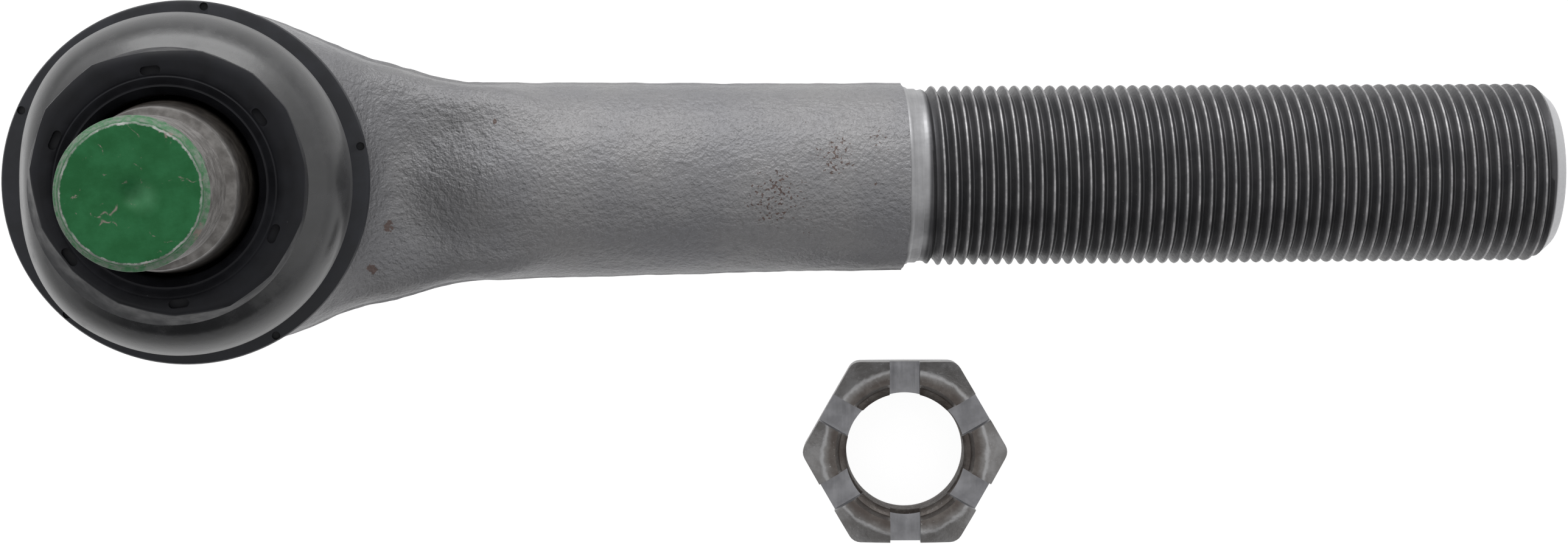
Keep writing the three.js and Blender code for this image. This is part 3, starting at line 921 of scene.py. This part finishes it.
def upper_profile():
    base, top = CROWN_BASE, CROWN_TOP
    outer = [
        (SEAM_R, SEAM_Z), (26.5, BALL_Z + 37.6), (25.2, BALL_Z + 40.4), (23.4, BALL_Z + 42.5),
        (21.7, BALL_Z + 43.8), (CROWN_R - 0.5, BALL_Z + 44.6),
    ]
    side = [
        (CROWN_R - 0.7, BALL_Z + 45.6), (CROWN_R - 0.6, base - 2), (CROWN_R - 0.35, base - 0.4),
        (CROWN_R - 0.3, base + 0.6), (CROWN_R, base + 1.4), (CROWN_R, top - 0.9),
        (CROWN_R - 0.12, top - 0.4), (CROWN_R - 0.6, top - 0.1), (CROWN_R - 1.2, top),
    ]
    face = [
        (19.2, top), (18.0, top - 0.25), (17.0, top - 0.35), (16.75, top - 0.55), (16.5, top - 0.4),
        (16.1, top - 0.6), (15.7, top - 1.0), (15.4, top - 1.15), (15.1, top - 1.05), (14.8, top - 1.4),
        (14.4, top - 2.1), (LIP_R + 0.2, top - 2.5),
    ]
    lip = [(LIP_R, top - 3.0), (LIP_R, base + 0.3), (LIP_R + 0.3, base)]
    pocket = [(15.3, base), (15.3, base + 1.6), (19.5, base + 1.6), (19.5, base - 0.6)]
    inner = [
        (18.4, BALL_Z + 44.5), (19.8, BALL_Z + 42.3), (21.6, BALL_Z + 40.7), (23.3, BALL_Z + 38.4),
        (24.2, BALL_Z + 36.5), (SEAM_R - WALL, SEAM_Z),
    ]
    return curve_points(outer, 6) + side + face + lip + pocket + curve_points(inner, 5)


def wall_dent(angle, height):
    """The wall is pressed in on the side away from the shank, most at its widest place."""
    from_back = abs(angle % (2 * math.pi) - math.pi)
    below = smoothstep(BOOT_BASE + 3.5, SEAM_Z - 2, height)
    above = smoothstep(CROWN_BASE - 1, SEAM_Z + 3, height)
    return smoothstep(DENT_SPREAD, 0.0, from_back) * below * above


# The crown's rim was trimmed in short cuts and stands a little off centre: [degrees, radius]. The last
# corner is the first one again.
CROWN_CORNERS = (
    (-162, 19.3), (-138, 18.7), (-112, 18.9), (-86, 19.5), (-62, 20.4), (-40, 20.7), (-14, 21.1), (9, 21.2),
    (33, 21.7), (52, 21.6), (74, 21.2), (97, 20.5), (120, 21.2), (146, 21.1), (172, 20.2), (198, 19.3),
)


def crown_edge(angle):
    """Radius of the crown's rim: nearly straight between its corners."""
    degrees = (math.degrees(angle) + 162) % 360 - 162
    for (a, ra), (b, rb) in zip(CROWN_CORNERS, CROWN_CORNERS[1:]):
        if a <= degrees <= b:
            first, last = math.radians(degrees - a), math.radians(b - degrees)
            straight = ra * rb * math.sin(first + last) / (ra * math.sin(first) + rb * math.sin(last))
            bent = ra + (rb - ra) * (0.5 - 0.5 * math.cos(math.pi * first / (first + last)))
            return 0.55 * straight + 0.45 * bent


def boot_point(radius, angle, height):
    """A place on the boot once its wall is dented and its rim is trimmed."""
    outward = max(0, (radius - ROUND_R) / (CROWN_R - ROUND_R))
    rim = smoothstep(CROWN_BASE + 1.5, CROWN_TOP - 1.2, height) * outward
    r = radius - WALL_DENT * wall_dent(angle, height) + (crown_edge(angle) - CROWN_R) * rim
    return r * math.cos(angle), r * math.sin(angle), height


def boot_object(name, profile, base_material):
    angles = [2 * math.pi * j / BOOT_COLUMNS for j in range(BOOT_COLUMNS)]
    surface = Surface()
    closed = profile + profile[:1]
    surface.add_rows([[boot_point(r, a, height) for a in angles] for r, height in closed])
    return make_object(name, surface.vertices, surface.faces, [base_material, RUBBER_GLOSS], sharp=40)


def around(away, degrees):
    """A place at a distance from the stud's axis."""
    angle = math.radians(degrees)
    return away * math.cos(angle), away * math.sin(angle), 0


def rounded_slot(length, width, depth, top, degrees):
    """A cutter for a slot with round ends, laid across a radius."""
    half = (length - width) / 2
    turns = np.linspace(-math.pi / 2, math.pi / 2, 7)
    outline = [(half + width / 2 * math.cos(a), width / 2 * math.sin(a)) for a in turns]
    outline += [(-x, -y) for x, y in outline]
    tool = prism("slot_tool", outline, top - depth, top + 1, [RUBBER_CROWN])
    place(tool, rotation(z=degrees + 90), around(SLOT_AWAY, degrees))
    return tool


def seam_normals(obj):
    """Makes the outer wall's shading run unbroken across the seam, where the wall stands straight up."""
    mesh = obj.data
    normals = [Vector(n.vector) for n in mesh.corner_normals]
    for loop in mesh.loops:
        co = mesh.vertices[loop.vertex_index].co / MM
        on_seam = abs(co.z - SEAM_Z) < 0.01 and math.hypot(co.x, co.y) > SEAM_R - 0.1
        if on_seam and abs(normals[loop.index].z) < 0.5:
            normals[loop.index] = Vector((co.x, co.y, 0)).normalized()
    mesh.normals_split_custom_set(normals)


def paint_wall(obj, low, high):
    """Makes the outer wall between two heights polished rubber."""
    for face in obj.data.polygons:
        z = face.center.z / MM
        r = math.hypot(face.center.x, face.center.y) / MM
        if low < z < high and r > 19.5:
            face.material_index = 1


def pinhole(degrees):
    """A cutter for one small blind hole in the flange."""
    floor, top = BOOT_BASE + 1.8, BOOT_BASE + 4
    pin = turned_object("pin_tool", [(0, floor), (0.62, floor), (0.72, top), (0, top)], 20, [RUBBER_FLANGE])
    place(pin, rotation(), around(PINHOLE_AWAY, degrees))
    return pin


def build_boot():
    lower = boot_object("boot_lower_wall", lower_profile(), RUBBER_FLANGE)
    for k in range(PINHOLE_COUNT):
        boolean(lower, pinhole(PINHOLE_FIRST + 360 / PINHOLE_COUNT * k))
    upper = boot_object("boot_upper_wall", upper_profile(), RUBBER_CROWN)
    for k in range(SLOT_COUNT):
        degrees = SLOT_FIRST + 360 / SLOT_COUNT * k
        slot = rounded_slot(length=3.1, width=1.3, depth=0.9, top=CROWN_TOP - 0.3, degrees=degrees)
        boolean(upper, slot)
    paint_wall(lower, BOOT_BASE + 4.0, SEAM_Z + 1)
    paint_wall(upper, SEAM_Z - 1, DOME_TOP)
    for half in (lower, upper):
        finish_shading(half, 40)
        seam_normals(half)
    return lower, upper


boot_lower, boot_upper = build_boot()
for half in (boot_lower, boot_upper):
    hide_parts("dust_boot")
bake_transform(boot_lower)
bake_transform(boot_upper)


# ---- Castellated nut ----
NUT_HEIGHT = 18.0
NUT_MINOR_R = 10.2
NUT_SLOT_WIDTH = 5.2
NUT_SLOT_FLOOR = 11.5
NUT_ROUNDING = 2.2  # radius of the hexagon's corners
NUT_BEVEL = 0.25


def nut_hexagon():
    """The nut's outline: six corners, each an arc."""
    middle_r = (NUT_FLATS / 2 - NUT_ROUNDING) / math.cos(math.pi / 6)
    outline = []
    for k in range(6):
        middle = math.radians(60 * k)
        for turn in (-30, -15, 0, 15, 30):
            angle = middle + math.radians(turn)
            x = middle_r * math.cos(middle) + NUT_ROUNDING * math.cos(angle)
            y = middle_r * math.sin(middle) + NUT_ROUNDING * math.sin(angle)
            outline.append((x, y))
    return outline


def nut_envelope():
    """The turned shape that slopes the hexagon's corners off at both ends."""
    seat_r = NUT_FLATS / 2 - 0.3
    rim = NUT_FLATS / 2 / math.cos(math.pi / 6) + 0.3
    profile = [
        (0, 0), (seat_r, 0), (rim, 0.5 * (rim - seat_r)), (rim, NUT_HEIGHT - 0.75 * (rim - NUT_FACE_R)),
        (NUT_FACE_R + 0.5, NUT_HEIGHT - 0.42), (NUT_FACE_R, NUT_HEIGHT - 0.12),
        (NUT_FACE_R - 0.6, NUT_HEIGHT), (0, NUT_HEIGHT),
    ]
    return turned_object("envelope_tool", profile, 120, [NUT])


def held_out(point, radius):
    """The point, pushed away from the axis to at least a radius."""
    x, y, z = point
    share = max(1, radius / math.hypot(x, y))
    return x * share, y * share, z


def nut_tap():
    """The threaded bore with a countersink at each end."""
    columns = 96
    start, end, top = 1.3, NUT_HEIGHT - 2.6, NUT_HEIGHT
    foot = [(0, -1), (11.6, -1), (11.6, 0), (11.2, 0.3), (NUT_MINOR_R, start)]
    mouth = [
        (NUT_MINOR_R, end), (11.0, top - 1.9), (11.35, top - 1.75), (12.0, top - 0.15), (12.1, top + 1),
        (0, top + 1),
    ]
    rows = thread_rows(start, end, STUD_PITCH, STUD_CREST_R + 0.2, columns, NUT_MINOR_R, NUT_MINOR_R, 50)
    tap = Surface()
    tap.add_rows(rings(foot, columns))
    tap.add_rows([[held_out(point, NUT_MINOR_R) for point in row] for row in rows], len(THREAD_FORM))
    tap.add_rows(rings(mouth, columns))
    return make_object("tap_tool", tap.vertices, tap.faces, [NUT])


def build_nut():
    nut = prism("nut_body", nut_hexagon(), 0, NUT_HEIGHT, [NUT, MILLED])
    boolean(nut, nut_envelope(), "INTERSECT")
    boolean(nut, nut_tap())
    half = NUT_SLOT_WIDTH / 2
    slot = [(half, -20), (half, 20), (-half, 20), (-half, -20)]
    for k in range(3):
        cutter = prism("slot_tool", slot, NUT_SLOT_FLOOR, NUT_HEIGHT + 2, [MILLED])
        place(cutter, rotation(z=60 * k), (0, 0, 0))
        boolean(nut, cutter)
    bevel = nut.modifiers.new("bevel", "BEVEL")
    bevel.width = NUT_BEVEL * MM
    bevel.segments = 2
    bevel.limit_method = "ANGLE"
    bevel.angle_limit = math.radians(38)
    apply_modifiers(nut)
    finish_shading(nut, 35)
    return nut


nut = build_nut()
place(nut, bench_turn, NUT_PLACE)
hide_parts("castle_nut")
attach(nut, "nut")


# ---- Closure, seen from below, and the sealed inner pieces ----
def build_closure():
    profile = [
        (0, 0.9), (4.5, 0.9), (6.0, 0.6), (8.5, 0.05), (9.5, 0.0), (18.0, 0.0), (18.45, 0.12), (18.6, 0.5),
        (18.6, 2.7), (22.1, 2.7), (22.1, PLATE_TOP), (0, PLATE_TOP),
    ]
    return turned_object("closure_disc", profile, 120, [STAMPED])


closure = build_closure()
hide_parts("closure_plate")
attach(closure, "housing")

INNER_MATERIALS = {
    "upper_bearing": PLASTIC,
    "lower_bearing": PLASTIC,
    "spring_seat": STAMPED,
    "preload_spring": SPRING,
    "closure_seal": RUBBER_FLANGE,
    "boot_base_insert": STAMPED,
    "boot_crown_insert": STAMPED,
}
for node_name, node_material in INNER_MATERIALS.items():
    node_mesh = frame["nodes"][node_name].data
    node_mesh.materials.clear()
    node_mesh.materials.append(node_material)


# ---- Bench, light and camera ----
def build_bench():
    """A white bench that glows round the part and fades farther out."""
    signs = ((-1, -1), (1, -1), (1, 1), (-1, 1))
    corners = [Vector((a * BENCH_REACH, b * BENCH_REACH, -BENCH_DEPTH)) for a, b in signs]
    mesh = bpy.data.meshes.new("bench")
    mesh.from_pydata([tuple(bench_turn @ corner * MM) for corner in corners], [], [(0, 1, 2, 3)])
    n = Nodes("bench_white")
    glow = n.span(n.distance((110, 160, 0)), 285, 700, 0.92, 0.4)
    n.set(Base_Color=(0.18, 0.18, 0.18), Roughness=0.9)
    n.set(Emission_Color=(1, 1, 1), Emission_Strength=glow)
    mesh.materials.append(n.material)
    bench = add_object("bench", mesh)


def area_light(name, place_mm, aim_mm, size, watts):
    """A rectangular light whose place and aim are measured from the bench's own directions."""
    light = bpy.data.lights.new(name, "AREA")
    light.shape = "RECTANGLE"
    light.size, light.size_y = (side * MM for side in size)
    light.energy = watts
    obj = add_object(name, light)
    obj.location = bench_turn @ Vector(place_mm) * MM
    direction = bench_turn @ (Vector(aim_mm) - Vector(place_mm))
    obj.rotation_euler = direction.to_track_quat("-Z", "Y").to_euler()


# How bright the world is from the near side (share 0) to the far side (share 1).
WORLD_LEVELS = ((0.0, 0.0), (0.07, 0.1), (0.24, 1.1), (0.70, 1.1), (1.0, 2.4))


def build_world():
    """Soft light, brightest from the far side (+Y) and fading to none on the near side."""
    world = bpy.data.worlds.new("studio")
    bpy.context.scene.world = world
    world.use_nodes = True
    nodes = world.node_tree.nodes
    link = world.node_tree.links.new
    background = nodes["Background"]
    background.inputs["Color"].default_value = (1, 1, 1, 1)
    coordinates = nodes.new("ShaderNodeTexCoord")
    split = nodes.new("ShaderNodeSeparateXYZ")
    link(coordinates.outputs["Generated"], split.inputs[0])
    side = nodes.new("ShaderNodeMapRange")
    link(split.outputs["Y"], side.inputs["Value"])
    side.inputs["From Min"].default_value = -1.0
    levels = nodes.new("ShaderNodeValToRGB")
    link(side.outputs[0], levels.inputs[0])
    brightest = WORLD_LEVELS[-1][1]
    # A new ramp already runs from black to white, as the first and last levels ask.
    for share, level in WORLD_LEVELS[1:-1]:
        levels.color_ramp.elements.new(share).color = (*[level / brightest] * 3, 1)
    scale = nodes.new("ShaderNodeMath")
    scale.operation = "MULTIPLY"
    scale.inputs[1].default_value = brightest
    link(levels.outputs["Color"], scale.inputs[0])
    link(scale.outputs[0], background.inputs["Strength"])


def build_camera():
    camera = bpy.data.cameras.new("camera")
    camera.sensor_fit = "HORIZONTAL"
    camera.sensor_width = SENSOR
    camera.lens = SENSOR * FOCAL_SHARE
    camera.clip_end = 20
    obj = add_object("camera", camera)
    turn = rotation(y=-CAMERA_TILT) @ rotation(x=-CAMERA_PITCH) @ rotation(z=CAMERA_ROLL)
    right, up, ahead = BALL_IN_VIEW
    position = Vector((0, 0, BALL_Z)) - turn @ Vector((right, up, -ahead))
    obj.matrix_world = Matrix.Translation(position * MM) @ turn.to_4x4()
    bpy.context.scene.camera = obj


build_bench()
build_world()
area_light("key_far", place_mm=(110, 800, 380), aim_mm=(110, 0, 30), size=(900, 450), watts=3.6)
build_camera()
bpy.context.scene.view_settings.view_transform = "Standard"
